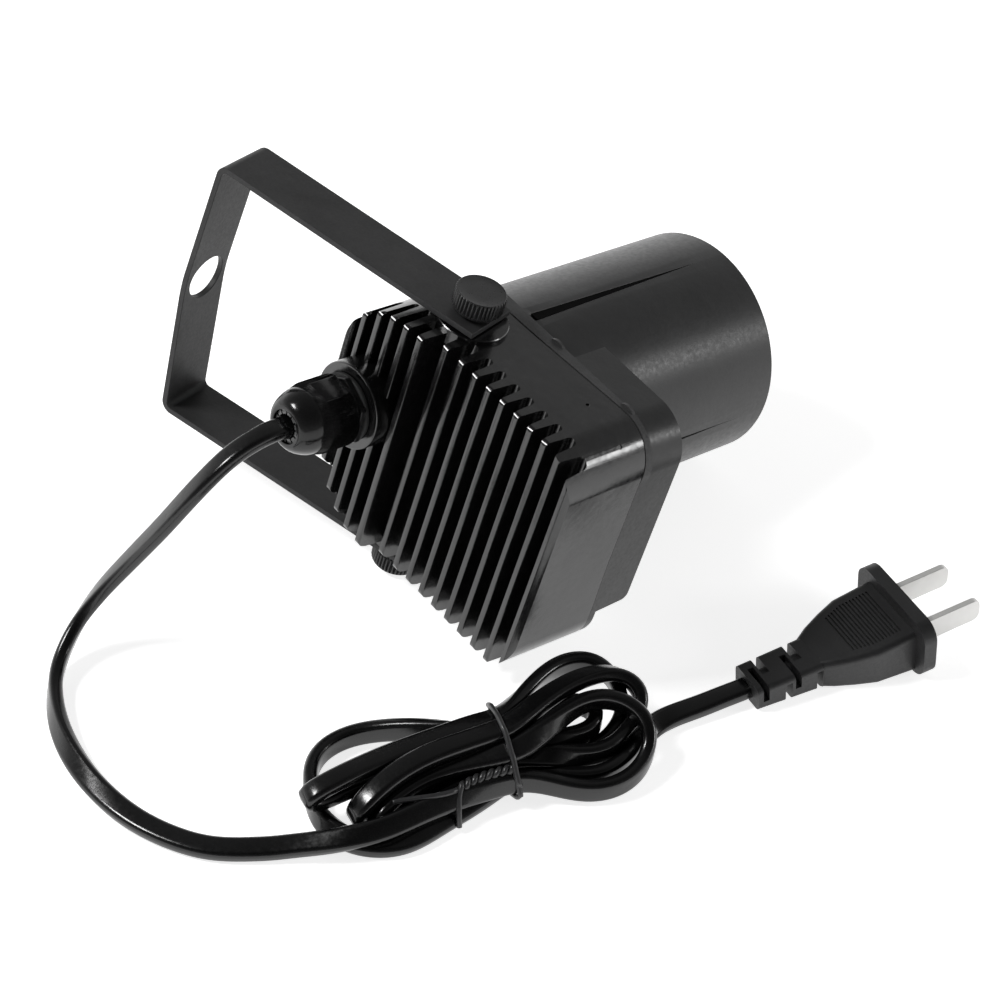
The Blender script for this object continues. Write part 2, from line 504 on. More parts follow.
GREEN_BOARD = finish("driver_board_mask", (0.02, 0.13, 0.05), 0.35, 1.5, spread=0.06, mottle=0.15, bump=0.3, grain=900)
TERMINAL = finish("terminal_green", (0.03, 0.24, 0.09), 0.4, 1.5, spread=0.06, mottle=0.1, bump=0.3, grain=1200)
PAD = finish("pad_grey", (0.3, 0.31, 0.33), 0.75, 1.45, spread=0.06, mottle=0.1, bump=0.5, grain=1200)
TAPE = finish("winding_tape", (0.62, 0.46, 0.06), 0.4, 1.5, spread=0.06, mottle=0.1, bump=0.4, grain=700)
CAN = finish("capacitor_sleeve", (0.02, 0.024, 0.05), 0.3, 1.5, spread=0.05, mottle=0.1, bump=0.2, grain=900)
FERRITE = finish("ferrite_core", (0.045, 0.045, 0.05), 0.6, 1.5, spread=0.08, mottle=0.15, bump=0.5, grain=1500)
WIRES = {"wire_live": (0.14, 0.055, 0.02), "wire_neutral": (0.02, 0.07, 0.3), "wire_led_pos": (0.42, 0.02, 0.015),
         "wire_led_neg": (0.015, 0.015, 0.015)}


def dress(ob, mat):
    ob.data.materials.clear()
    ob.data.materials.append(mat)


CAD_FINISH = {
    "housing_gasket": RUBBER, "thermal_pad": PAD, "led_board": WHITE_BOARD, "led_chip": PHOSPHOR,
    "collimator_holder": KNOB, "collimator_lens": ACRYLIC, "front_lens": GLASS, "lens_oring": RUBBER,
    "lens_retaining_ring": PAINT, "led_screw_1": ZINC, "led_screw_2": ZINC, "housing_screw_1": ZINC,
    "housing_screw_2": ZINC, "housing_screw_3": ZINC, "housing_screw_4": ZINC, "driver_board": GREEN_BOARD,
    "driver_screw_1": ZINC, "driver_screw_2": ZINC, "driver_transformer": TAPE, "driver_capacitor": CAN,
    "driver_inductor": FERRITE, "terminal_block": TERMINAL,
    "gland_bush": RUBBER,
    "knob_stud_top": ZINC, "knob_stud_bottom": ZINC, "washer_top": NYLON,
    "washer_bottom": NYLON}

for name, mat in CAD_FINISH.items():
    dress(NODES[name], mat)
for name, color in WIRES.items():
    dress(NODES[name], finish(name + "_jacket", color, 0.4, 1.5, mottle=0.08, bump=0.3, grain=1500))


# ------------------------------------------------------- refined hard pieces
# The part's own outlines with finer arcs and rounded edges, drawn in the lamp's
# frame in millimetres and then carried to the floor in metres.
LAMP_M = Matrix.Translation(LAMP_T * MM) @ LAMP_Q.to_4x4() @ Matrix.Diagonal((MM, MM, MM, 1))
HALF_H, X_RIGHT, R_CORNER, DRAFT = 32.2, 49.2, 10.45, 0.026
LEFT_TOP, LEFT_BOTTOM = (-3.0, 7.0, 22.0, 25.2), (6.0, -3.0, 31.0, 29.2)
FRONT_Y, SLOT_Y, CAVITY_Y, WALL = 23.7, 7.2, 10.2, 2.5
FIN_TIP, FIN_ROOT = 0.85, 1.2
CROWN_X, CROWN_Y, CROWN_R = -5.9, -3.8, 48.6
FLANGE_Y0, FLANGE_Y1, EAR_X, EAR_Y, EAR_Z = 23.85, 26.1, 19.25, 35.7, -20.35
SNOOT_R, SNOOT_Y, BASE_Y, PIVOT_Y = 27.2, 95.7, 29.1, 11.95
YOKE_REST, YOKE_REACH, YOKE_MID, YOKE_W, YOKE_T = math.radians(12.65), 69.55, 71.8, 14.65, 1.5


def put(name, mesh):
    ob = bpy.data.objects.new(name, mesh)
    scene.collection.objects.link(ob)
    return ob


def baked(ob):
    """The object with its modifiers and transform applied."""
    bpy.context.view_layer.update()
    dg = bpy.context.evaluated_depsgraph_get()
    mesh = bpy.data.meshes.new_from_object(ob.evaluated_get(dg))
    mesh.transform(ob.matrix_world)
    name = ob.name
    bpy.data.objects.remove(ob, do_unlink=True)
    out = put(name, mesh)
    out.name = name
    return out


def tidy(ob, dist=1e-4):
    bm = bmesh.new()
    bm.from_mesh(ob.data)
    bmesh.ops.remove_doubles(bm, verts=bm.verts, dist=dist)
    bmesh.ops.dissolve_degenerate(bm, edges=bm.edges, dist=1e-5)
    bmesh.ops.recalc_face_normals(bm, faces=bm.faces)
    bm.to_mesh(ob.data)
    bm.free()
    return ob


TO_AXIS = {"z": Matrix.Identity(4), "y": Matrix.Rotation(math.radians(90), 4, "X"),
           "x": Matrix(((0, 0, 1, 0), (1, 0, 0, 0), (0, 1, 0, 0), (0, 0, 0, 1)))}
ROD_AXIS = {"z": Matrix.Identity(4), "y": Matrix.Rotation(math.radians(-90), 4, "X"),
            "x": Matrix.Rotation(math.radians(90), 4, "Y")}


def prism(name, pts, lo, hi, axis="y"):
    """A flat outline given thickness lo..hi on an axis, as one cap each side."""
    n = len(pts)
    verts = [(a, b, lo) for a, b in pts] + [(a, b, hi) for a, b in pts]
    faces = [tuple(range(n))[::-1], tuple(range(n, 2 * n))]
    faces += [(i, (i + 1) % n, n + (i + 1) % n, n + i) for i in range(n)]
    mesh = bpy.data.meshes.new(name)
    mesh.from_pydata(verts, [], faces)
    if axis == "y":
        mesh.transform(Matrix(((1, 0, 0, 0), (0, 0, 1, 0), (0, 1, 0, 0), (0, 0, 0, 1))))
    elif axis == "x":
        mesh.transform(TO_AXIS["x"])
    return tidy(put(name, mesh))


def spun(name, profile, axis="y", centre=(0, 0, 0), steps=96, ring=False):
    """A profile of (radius, height) turned round an axis."""
    verts, faces = [], []
    rows = []
    for r, h in profile:
        if r < 1e-6:
            rows.append([len(verts)])
            verts.append((0, 0, h))
        else:
            rows.append(list(range(len(verts), len(verts) + steps)))
            verts += [(r * math.cos(2 * math.pi * k / steps), r * math.sin(2 * math.pi * k / steps), h)
                      for k in range(steps)]
    pairs = list(zip(rows, rows[1:])) + ([(rows[-1], rows[0])] if ring else [])
    for a, b in pairs:
        for k in range(steps):
            m = (k + 1) % steps
            if len(a) == 1 and len(b) == 1:
                continue
            if len(a) == 1:
                faces.append((a[0], b[k], b[m]))
            elif len(b) == 1:
                faces.append((a[k], a[m], b[0]))
            else:
                faces.append((a[k], a[m], b[m], b[k]))
    mesh = bpy.data.meshes.new(name)
    mesh.from_pydata(verts, [], faces)
    mesh.transform(Matrix.Translation(Vector(centre)) @ ROD_AXIS[axis])
    return tidy(put(name, mesh))


def stick(name, r, lo, hi, axis="y", centre=(0, 0), seg=48, turn=0.0):
    prof = [(0, lo), (r, lo), (r, hi), (0, hi)]
    a, b = centre
    at = {"x": (0, a, b), "y": (a, 0, b), "z": (a, b, 0)}[axis]
    ob = spun(name, prof, axis, (0, 0, 0), seg)
    ob.data.transform(Matrix.Translation(at) @ Matrix.Rotation(turn, 4, axis.upper()))
    return ob


def block(name, x, y, z):
    pts = [(x[0], y[0]), (x[1], y[0]), (x[1], y[1]), (x[0], y[1])]
    return prism(name, pts, z[0], z[1], "z")


def combined(ob, others, operation):
    for i, other in enumerate(others):
        mod = ob.modifiers.new("b%d" % i, "BOOLEAN")
        mod.operation = operation
        mod.solver = "EXACT"
        mod.object = other
        ob = tidy(baked(ob))
        bpy.data.objects.remove(other, do_unlink=True)
    return ob


def eased(ob, width, angle=32, segments=2, sharp=None):
    """Rounded edges and smooth shading that keeps the flat faces flat."""
    bm = bmesh.new()
    bm.from_mesh(ob.data)
    bmesh.ops.dissolve_limit(bm, angle_limit=math.radians(0.4), verts=bm.verts, edges=bm.edges)
    bm.to_mesh(ob.data)
    bm.free()
    ob.data.polygons.foreach_set("use_smooth", [True] * len(ob.data.polygons))
    if width:
        mod = ob.modifiers.new("edge", "BEVEL")
        mod.width = width
        mod.segments = segments
        mod.limit_method = "ANGLE"
        mod.angle_limit = math.radians(angle)
        mod.use_clamp_overlap = True
        mod.loop_slide = True
    mod = ob.modifiers.new("tris", "TRIANGULATE")
    mod.keep_custom_normals = True
    ob = baked(ob)
    ob.data.polygons.foreach_set("use_smooth", [True] * len(ob.data.polygons))
    ob.data.set_sharp_from_angle(angle=math.radians(sharp or 50))
    mod = ob.modifiers.new("normals", "WEIGHTED_NORMAL")
    mod.keep_sharp = True
    mod.weight = 60
    return baked(ob)


def placed(ob, matrix):
    ob.data.transform(matrix)
    ob.data.update()
    return ob


def stand_in(ob, body, slot, mat, *nodes):
    dress(ob, mat)
    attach(ob, body)
    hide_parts(*nodes)


def arc(cx, cy, r, a0, a1, n):
    return [(cx + r * math.cos(math.radians(a0 + (a1 - a0) * i / n)),
             cy + r * math.sin(math.radians(a0 + (a1 - a0) * i / n))) for i in range(n + 1)]


def outline(inset=0.0, n=20, m=44):
    rc = R_CORNER - inset
    cx, cz = X_RIGHT - R_CORNER, HALF_H - R_CORNER
    pts = arc(cx, -cz, rc, -90, 0, n) + arc(cx, cz, rc, 0, 90, n)
    for (x, z, a, b), start in ((LEFT_TOP, 90), (LEFT_BOTTOM, 180)):
        pts += [(x + (a - inset) * u, z + (b - inset) * v) for u, v in arc(0, 0, 1, start, start + 90, m)]
    return pts


def divided(pts, step=3.0):
    """The same outline with points added along its long straight sides."""
    out = []
    for (xa, za), (xb, zb) in zip(pts, pts[1:] + pts[:1]):
        k = max(1, int(math.hypot(xb - xa, zb - za) / step))
        out += [(xa + (xb - xa) * i / k, za + (zb - za) * i / k) for i in range(k)]
    return out


# ---- rear casting
left = [-22.5, -18.55, -13.43, -9.03, -4.6, -0.21]
right = [4.7, 10.04] + [10.04 + 4.714 * i for i in range(1, 9)]
FINS = [(x, CROWN_Y + CROWN_R - math.sqrt(CROWN_R ** 2 - (x - CROWN_X) ** 2), SLOT_Y - 1.4) for x in left]
FINS += [(x, 0.0, SLOT_Y) for x in right]


def comb():
    x0, y0, _ = FINS[0]
    pts = [(-27.0, FRONT_Y + 1), (-27.0, y0 + 4.0)] + arc(-22.3, y0 + 3.1, 3.0, 182, 255, 8)
    pts += arc(x0, y0 + FIN_TIP * 0.8, FIN_TIP, 290, 360, 5)
    for (xa, ya, sa), (xb, yb, sb) in zip(FINS, FINS[1:]):
        s = (sa + sb) / 2 if sa != sb else sa
        r = (xb - xa) / 2 - FIN_ROOT
        if (xa, ya, sa) != FINS[0]:
            pts += arc(xa, ya + FIN_TIP * 0.8, FIN_TIP, 300, 360, 4)[1:]
        pts += arc((xa + xb) / 2, s - r, r, 180, 0, 12)
        pts += arc(xb, yb + FIN_TIP * 0.8, FIN_TIP, 180, 240, 4)[:-1]
        pts.append((xb, yb))
    pts += [(FINS[-1][0] + 0.5, 0.0)] + arc(49.35 - 2.5, 2.5, 2.5, -72, -4, 8) + [(51.0, 6.0), (51.0, FRONT_Y + 1)]
    return pts


def between(x, table):
    for (a, u), (b, v) in zip(table, table[1:]):
        if x <= b:
            return u + (v - u) * max(0.0, x - a) / (b - a)
    return table[-1][1]


def parting(x, z):
    """Where the two castings meet: the joint wanders a little round the rim."""
    cx, cz = X_RIGHT - R_CORNER, HALF_H - R_CORNER
    if z > 26.0 and x <= cx:
        return between(x, [(-6.0, 22.3), (7.9, 22.6), (cx, 24.55)])
    if x > cx and z > cz:
        return between(math.degrees(math.atan2(z - cz, x - cx)), [(0, 23.8), (30, 24.15), (55, 24.45), (90, 24.55)])
    if x > cx:
        return between(z, [(-32.0, 24.2), (-17.0, 24.2), (-12.0, 23.9), (-3.0, 23.65), (cz, 23.8)])
    return between(z, [(14.0, 23.7), (26.0, 22.4)]) if x < -2 else 23.7


def joined_at(ob, y, shift):
    for v in ob.data.vertices:
        if abs(v.co.y - y) < 0.01:
            v.co.y = parting(v.co.x, v.co.z) + shift


def edge_round(name, r, z, side, x0, x1, y=0.0, over=2.0, n=8):
    k = arc(y + r, z - side * r, r, 180, 90 * side if side > 0 else 270, n)
    return prism(name, k + [(y + r, z + side * over), (y - 2.0, z + side * over), (y - 2.0, z - side * r)],
                 x0, x1, "x")


def end_height(x, side):
    cx, cz, a, b = LEFT_TOP if side > 0 else LEFT_BOTTOM
    z = cz + side * b * math.sqrt(1 - min(0.999, (min(0.0, x - cx) / a) ** 2))
    return z if side > 0 else z * (1 - DRAFT)


rear = prism("rear", divided(outline()), -6.0, FRONT_Y)
rear = combined(rear, [prism("comb", comb(), -40, 40, "z")], "INTERSECT")
for v in rear.data.vertices:
    if v.co.z < 0:
        v.co.z *= 1 - DRAFT * (FRONT_Y - v.co.y) / FRONT_Y
rounds = [edge_round("r1", 1.2, HALF_H, 1, 2.2, 52), edge_round("r2", 2.6, -HALF_H * (1 - DRAFT), -1, 2.2, 52)]
for fx, fy, _ in FINS[1:6]:
    rounds += [edge_round("rt", 1.2, end_height(fx, 1), 1, fx - 1.9, fx + 1.9, fy, 6.0),
               edge_round("rb", 2.4, end_height(fx, -1), -1, fx - 1.9, fx + 1.9, fy, 6.0)]
rear = combined(rear, rounds, "DIFFERENCE")
rear = combined(rear, [
    spun("boss_t", [(0, 29.5), (8.3, 29.5), (8.3, 33.12), (8.12, 33.3), (0, 33.3)], "z", (0, PIVOT_Y, 0), 72),
    spun("boss_b", [(0, -29.5), (8.3, -29.5), (8.3, -32.62), (8.12, -32.8), (0, -32.8)], "z", (0, PIVOT_Y, 0), 72),
    spun("boss_g", [(0, -7.2), (9.9, -7.2), (10.25, -7.02), (10.4, -6.6), (10.4, 9.0), (0, 9.0)], "y",
         (GLAND_X, 0, GLAND_Z), 96)], "UNION")


def dent(y, angle):
    """A small round mark in the rounded corner."""
    ob = stick("dent", 0.6, R_CORNER - 0.25, R_CORNER + 1.0, "z", (0, 0), 20)
    ob.data.transform(Matrix.Translation((X_RIGHT - R_CORNER, y, HALF_H - R_CORNER))
                      @ Matrix.Rotation(math.radians(90 - angle), 4, "Y"))
    return ob


bay = prism("bay", outline(WALL, 8, 16), CAVITY_Y, FRONT_Y + 2)
rear = combined(rear, [bay, stick("pit", 0.55, 31.9, 33.0, "z", (33.1, 17.9), 16),
                       dent(17.6, 52.0),
                       stick("bore_g", 6.35, -9.0, 12.0, "y", (GLAND_X, GLAND_Z), 48),
                       stick("bore_t", 2.7, 20.0, 36.0, "z", (0, PIVOT_Y), 24),
                       stick("bore_b", 2.7, -36.0, -20.0, "z", (0, PIVOT_Y), 24)], "DIFFERENCE")
joined_at(rear, FRONT_Y, -0.06)
rear = placed(eased(rear, 0.5, 34, 3), LAMP_M)
rear.name = "rear_casting"
stand_in(rear, "head", "black_casting", PAINT, "rear_housing")

# ---- front casting
front = prism("front", divided(outline(0.03)), FLANGE_Y0, FLANGE_Y1)
limit = [(FLANGE_Y0, 45), (FLANGE_Y0, EAR_Z)] + arc(EAR_Y - 1.8, EAR_Z + 0.5 + 1.8, 1.8, 270, 360, 8) + [(EAR_Y, 45)]
ear = combined(prism("ear", divided(outline(0.03)), FLANGE_Y0 + 1.5, EAR_Y + 1), [prism("lim", limit, EAR_X, 60, "x")],
               "INTERSECT")
front = combined(front, [
    ear,
    spun("snoot", [(0, FLANGE_Y0 + 1.2), (SNOOT_R, FLANGE_Y0 + 1.2), (SNOOT_R, SNOOT_Y - 0.5),
                   (SNOOT_R - 0.15, SNOOT_Y - 0.15), (SNOOT_R - 0.5, SNOOT_Y), (0, SNOOT_Y)], "y", steps=180)],
    "UNION")
front = combined(front, [
    spun("snoot_bore", [(0, BASE_Y), (25.2, BASE_Y), (25.2, 56.5), (22.9, 56.5), (22.9, 58.5), (25.2, 58.5),
                        (25.2, SNOOT_Y - 0.4), (25.6, SNOOT_Y + 0.02), (25.6, 97.0), (0, 97.0)], "y", steps=120)],
    "DIFFERENCE")


def flat_cutter(name, angle, start):
    a = math.atan2(0.2, 85.3 - 33.0)
    ob = block(name, (-8, 8), (0, 60), (0, 3))
    ob.data.transform(Matrix.Rotation(math.radians(angle), 4, "Y")
                      @ Matrix.Translation((0, start, SNOOT_R - 0.2 * (85.3 - start) / 52.3))
                      @ Matrix.Rotation(a, 4, "X"))
    return ob


def groove_cutter(name, angle, end, wide=1.0):
    """The dark line at the edge of a flat: a V that runs out to nothing."""
    rows = []
    for y in (31.0, end):
        w = max(0.02, wide * (end - y) / (end - 47.8))
        d = 0.85 * w
        r = SNOOT_R - 0.2 * (85.3 - y) / 52.3
        rows += [(-w * (1 + 1 / d), y, r + 1), (w * (1 + 1 / d), y, r + 1), (0, y, r - d)]
    mesh = bpy.data.meshes.new(name)
    mesh.from_pydata(rows, [], [(0, 1, 2), (5, 4, 3), (0, 3, 4, 1), (1, 4, 5, 2), (2, 5, 3, 0)])
    ob = tidy(put(name, mesh))
    ob.data.transform(Matrix.Rotation(math.radians(angle), 4, "Y"))
    return ob


front = combined(front, [flat_cutter("flat_1", 0, 33.0), flat_cutter("flat_2", 90, 37.0),
                         flat_cutter("flat_3", 180, 33.0), flat_cutter("flat_4", 270, 33.0)], "DIFFERENCE")
front = combined(front, [groove_cutter("line_1", 0, 86.6), groove_cutter("line_2", 90, 87.5, 0.8),
                         groove_cutter("line_3", 180, 86.6), groove_cutter("line_4", 270, 87.5, 0.8)], "DIFFERENCE")
joined_at(front, FLANGE_Y0, 0.06)
front = placed(eased(front, 0.26, 34, 2), LAMP_M)
front.name = "front_casting"
stand_in(front, "head", "black_casting", ROUGH_PAINT, "front_housing")


def line_strip(name, angle, end, wide=1.0):
    """Dark fill at the bottom of a groove, just below the snoot's surface."""
    rows = []
    for y in (33.0, end - 1.5):
        w = max(0.02, wide * (end - y) / (end - 47.8))
        d = 0.85 * w
        r = SNOOT_R - 0.2 * (85.3 - y) / 52.3
        t = w * (1 - 0.12 / max(d, 0.2))
        rows += [(-t, y, r - 0.08), (t, y, r - 0.08), (0, y, r - d)]
    mesh = bpy.data.meshes.new(name)
    mesh.from_pydata(rows, [], [(0, 1, 2), (5, 4, 3), (0, 3, 4, 1), (1, 4, 5, 2), (2, 5, 3, 0)])
    mesh.transform(Matrix.Rotation(math.radians(angle), 4, "Y"))
    ob = tidy(put(name, mesh), 1e-5)
    ob = placed(ob, LAMP_M)
    ob.name = name
    dress(ob, RECESS)
    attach(ob, "head")
    return ob


for number, (angle, end, wide) in enumerate(((0, 86.6, 1.0), (90, 87.5, 0.8), (180, 86.6, 1.0), (270, 87.5, 0.8))):
    line_strip("snoot_line_%d" % (number + 1), angle, end, wide)

# the dull rim of the front casting, proud along the top and the corner
far, near = divided(outline(-0.16)), divided(outline(0.3))
rim = []
for (xa, za), (xb, zb) in zip(far, near):
    t = min(1.0, max(0.0, (za - 16.0) / 7.0)) if xa > -5 else 0.0
    t = t * t * (3 - 2 * t)
    rim.append((xb + (xa - xb) * t, zb + (za - zb) * t))
rim = prism("rim", rim, FLANGE_Y0, FLANGE_Y1 + 0.04)
rim = combined(rim, [stick("bump_1", 2.9, FLANGE_Y1 - 0.75, FLANGE_Y1 + 0.02, "y", (14.2, HALF_H - 2.0), 48),
                     stick("bump_2", 2.9, FLANGE_Y1 - 0.75, FLANGE_Y1 + 0.02, "y", (37.9, HALF_H - 1.95), 48)],
               "UNION")
rim = combined(rim, [prism("inner", outline(1.6, 8, 16), FLANGE_Y0 - 3, FLANGE_Y1 + 1)], "DIFFERENCE")
joined_at(rim, FLANGE_Y0, 0.05)
rim = placed(eased(rim, 0.1, 34, 2), LAMP_M)
rim.name = "front_casting_rim"
dress(rim, CAST_RIM)
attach(rim, "head")

# ---- cable gland
MOUTH_Y, NUT_Y0, NUT_Y1 = -25.15, -17.7, -10.15


def nut_radius(a, y):
    """Outer radius of the ribbed part at an angle: two flats, ribs between."""
    full = 8.42 if y > NUT_Y0 else 7.85 + (8.42 - 7.85) * (y + 19.9) / 2.2
    best = full - 0.2 * (0.5 - 0.5 * math.cos(120 * a)) ** 0.7
    for c in (math.pi / 2, -math.pi / 2):
        d = (a - c + math.pi) % (2 * math.pi) - math.pi
        if abs(d) < 1.2:
            best = min(best, 7.72 / math.cos(d))
    return best


def nut_mesh():
    steps = 960
    rows = []
    inner = [(6.55, NUT_Y1), (6.55, -18.0), (5.6, -22.3), (4.6, -24.3), (4.05, MOUTH_Y + 0.25)]
    mouth = [(4.1, MOUTH_Y + 0.05), (4.3, MOUTH_Y)]
    dome = [(4.9, MOUTH_Y + 0.05), (5.5, MOUTH_Y + 0.35), (6.1, MOUTH_Y + 0.9), (6.7, MOUTH_Y + 1.75),
            (7.2, MOUTH_Y + 2.75), (7.55, MOUTH_Y + 3.7), (7.75, MOUTH_Y + 4.5), (7.8, MOUTH_Y + 5.0)]
    verts = []
    for r, y in inner + mouth + dome:
        rows.append(len(verts))
        verts += [(r * math.cos(2 * math.pi * k / steps), y, r * math.sin(2 * math.pi * k / steps))
                  for k in range(steps)]
    for y, less in ((-19.9, 0.02), (-19.75, 0.0), (NUT_Y0 - 0.1, 0.0), (NUT_Y0 + 0.05, 0.0), (NUT_Y1 - 0.35, 0.0),
                    (NUT_Y1 - 0.1, 0.12), (NUT_Y1, 0.35)):
        rows.append(len(verts))
        for k in range(steps):
            a = 2 * math.pi * k / steps
            r = nut_radius(a, y) - less
            verts.append((r * math.cos(a), y, r * math.sin(a)))
    faces = []
    ends = rows + [rows[0]]
    for a, b in zip(ends, ends[1:]):
        faces += [(a + k, a + (k + 1) % steps, b + (k + 1) % steps, b + k) for k in range(steps)]
    mesh = bpy.data.meshes.new("nut")
    mesh.from_pydata(verts, [], faces)
    mesh.transform(Matrix.Translation((GLAND_X, 0, GLAND_Z)))
    ob = tidy(put("gland_nut_visual", mesh), 1e-5)
    ob.data.polygons.foreach_set("use_smooth", [True] * len(ob.data.polygons))
    ob.data.set_sharp_from_angle(angle=math.radians(38))
    return ob


nut = placed(nut_mesh(), LAMP_M)
stand_in(nut, "gland_nut", "gloss_plastic", GLOSS, "gland_nut")

hexa = stick("hex", 15 / math.sqrt(3), -9.9, -8.4, "y", (GLAND_X, GLAND_Z), 6, math.radians(27))
hexa = combined(hexa, [stick("stem", 6.0, -9.0, 3.0, "y", (GLAND_X, GLAND_Z), 48),
                       stick("sleeve", 6.15, -17.3, -9.5, "y", (GLAND_X, GLAND_Z), 48)], "UNION")
hexa = combined(hexa, [spun("gb", [(0, -20), (4.9, -20), (4.9, -10.2), (4.0, -9.6), (4.0, 4), (0, 4)], "y",
                            (GLAND_X, 0, GLAND_Z), 48)], "DIFFERENCE")
hexa = placed(eased(hexa, 0.25, 30, 2), LAMP_M)
hexa.name = "gland_body_visual"
stand_in(hexa, "head", "black_nylon", NYLON, "gland_body")

seal = spun("gland_seal_visual", [(6.4, -7.25), (7.9, -7.25), (8.1, -7.45), (8.1, -8.15), (7.9, -8.35), (6.4, -8.35)],
            "y", (GLAND_X, 0, GLAND_Z), 72, ring=True)
seal.data.polygons.foreach_set("use_smooth", [True] * len(seal.data.polygons))
seal.data.set_sharp_from_angle(angle=math.radians(50))
placed(seal, LAMP_M)
stand_in(seal, "head", "black_rubber", RUBBER, "gland_seal")

claws = spun("claws", [(2.95, -17.5), (5.7, -17.5), (5.7, -18.6), (4.75, -22.6), (3.95, -24.5), (2.95, -24.65),
                       (2.8, -24.2)], "y", (GLAND_X, 0, GLAND_Z), 96, ring=True)
slots = []
for i in range(12):
    s = block("claw_slot", (0, 8), (-27, -18.9), (-0.24, 0.24))
    s.data.transform(Matrix.Translation((GLAND_X, 0, GLAND_Z)) @ Matrix.Rotation(math.radians(30 * i + 12), 4, "Y"))
    slots.append(s)
claws = combined(claws, slots, "DIFFERENCE")
claws = placed(eased(claws, 0.16, 30, 2), LAMP_M)
claws.name = "gland_claws"
stand_in(claws, "head", "black_nylon", CLAW, "gland_clamp")


# ---- yoke
def yoke_side():
    def line(off):
        top0, top1 = 35.2 - off, 34.7 - off
        bot0, bot1 = -34.9 + off, -38.7 + off
        u, mid = YOKE_REACH - off, YOKE_MID - off
        r = 3.0 - off
        return ([(-4.75, top0 + 0.5 * 4.75 / u)] + arc(u - r, top1 - r, r, 89, 4, 14)
                + arc(mid - 60, (top1 + bot1) / 2, 60, 4.6, -4.6, 6)
                + arc(u - r, bot1 + r, r, -4, -87, 14) + [(-4.75, bot0 + 3.8 * 4.75 / u)])
    return line(0.0) + line(YOKE_T)[::-1]


yoke = prism("yoke_v", yoke_side(), -YOKE_W / 2, YOKE_W / 2)
yoke = combined(yoke, [stick("yb", 3.1, -45, 45, "z", (0, 0), 40), stick("hb", 5.7, 60, 80, "x", (0, -2.0), 72)],
                "DIFFERENCE")
YOKE_M = LAMP_M @ Matrix.Translation((0, PIVOT_Y, 0)) @ Matrix.Rotation(math.pi + YOKE_REST, 4, "Z")
yoke = placed(eased(yoke, 0.2, 40, 3), YOKE_M)
yoke.name = "yoke_strip"
stand_in(yoke, "yoke", "black_steel", STEEL_PAINT, "yoke")


# ---- thumb knobs
def knob_mesh(name, side):
    steps = 480
    rows, verts = [], []
    stations = [(2.7, 39.6, 0), (2.7, 36.2, 0), (5.15, 36.2, 0), (5.4, 36.32, 0), (5.5, 36.5, 0), (5.5, 36.7, 0),
                (5.62, 36.85, .1), (5.9, 36.95, .45), (5.96, 37.1, .6), (5.96, 40.3, .6), (5.93, 40.5, .55),
                (5.84, 40.66, .4), (5.72, 40.8, .1), (5.66, 40.87, 0), (5.55, 40.93, 0), (5.4, 40.9, 0),
                (5.2, 40.87, 0), (3.0, 40.87, 0)]
    for r, z, deep in stations:
        rows.append(len(verts))
        for k in range(steps):
            a = 2 * math.pi * k / steps
            q = r - deep * (0.5 + 0.5 * math.cos(40 * a)) ** 1.3
            verts.append((q * math.cos(a), q * math.sin(a), side * z))
    faces = []
    for a, b in zip(rows, rows[1:]):
        faces += [(a + k, a + (k + 1) % steps, b + (k + 1) % steps, b + k) for k in range(steps)]
    for row, z in ((rows[0], 39.6), (rows[-1], 40.87)):
        c = len(verts)
        verts.append((0, 0, side * z))
        faces += [(row + k, row + (k + 1) % steps, c) for k in range(steps)]
    mesh = bpy.data.meshes.new(name)
    mesh.from_pydata(verts, [], faces)
    mesh.transform(Matrix.Translation((0, PIVOT_Y, 0)))
    ob = tidy(put(name, mesh), 1e-5)
    ob.data.polygons.foreach_set("use_smooth", [True] * len(ob.data.polygons))
    ob.data.set_sharp_from_angle(angle=math.radians(42))
    return placed(ob, LAMP_M)


stand_in(knob_mesh("thumb_knob_top", 1), "knob_top", "black_plastic", KNOB, "knob_top")
stand_in(knob_mesh("thumb_knob_bottom", -1), "knob_bottom", "black_plastic", KNOB, "knob_bottom")

# ---- plug
PLUG_M = Matrix.Translation((PLUG_F + X_P * 0.4) * MM) @ (Matrix((X_P, L_DIR, W_DIR)).transposed().to_4x4()
                                            @ Matrix.Diagonal((MM, MM, MM, 1)))


def pill(name, w, h, r, lo, hi, n=8, up=0.0):
    pts = (arc(w / 2 - r, -h / 2 + r + up, r, -90, 0, n) + arc(w / 2 - r, h / 2 - r + up, r, 0, 90, n)
           + arc(-w / 2 + r, h / 2 - r + up, r, 90, 180, n) + arc(-w / 2 + r, -h / 2 + r + up, r, 180, 270, n))
    return prism(name, pts, lo, hi, "y")


def shaped(name, corner, stations, n=6):
    """A rounded block along y whose width, bottom and top follow stations."""
    sec = []
    for y, w, lo, hi in stations:
        c = min(corner, (hi - lo) / 2.2)
        sec.append([(a, y, b) for a, b in
                    arc(w / 2 - c, lo + c, c, -90, 0, n) + arc(w / 2 - c, hi - c, c, 0, 90, n)
                    + arc(-w / 2 + c, hi - c, c, 90, 180, n) + arc(-w / 2 + c, lo + c, c, 180, 270, n)])
    k = len(sec[0])
    verts = [p for s in sec for p in s]
    faces = [tuple(range(k)), tuple(range((len(sec) - 1) * k, len(sec) * k))[::-1]]
    for i in range(len(sec) - 1):
        faces += [(i * k + j, i * k + (j + 1) % k, (i + 1) * k + (j + 1) % k, (i + 1) * k + j) for j in range(k)]
    mesh = bpy.data.meshes.new(name)
    mesh.from_pydata(verts, [], faces)
    return tidy(put(name, mesh))


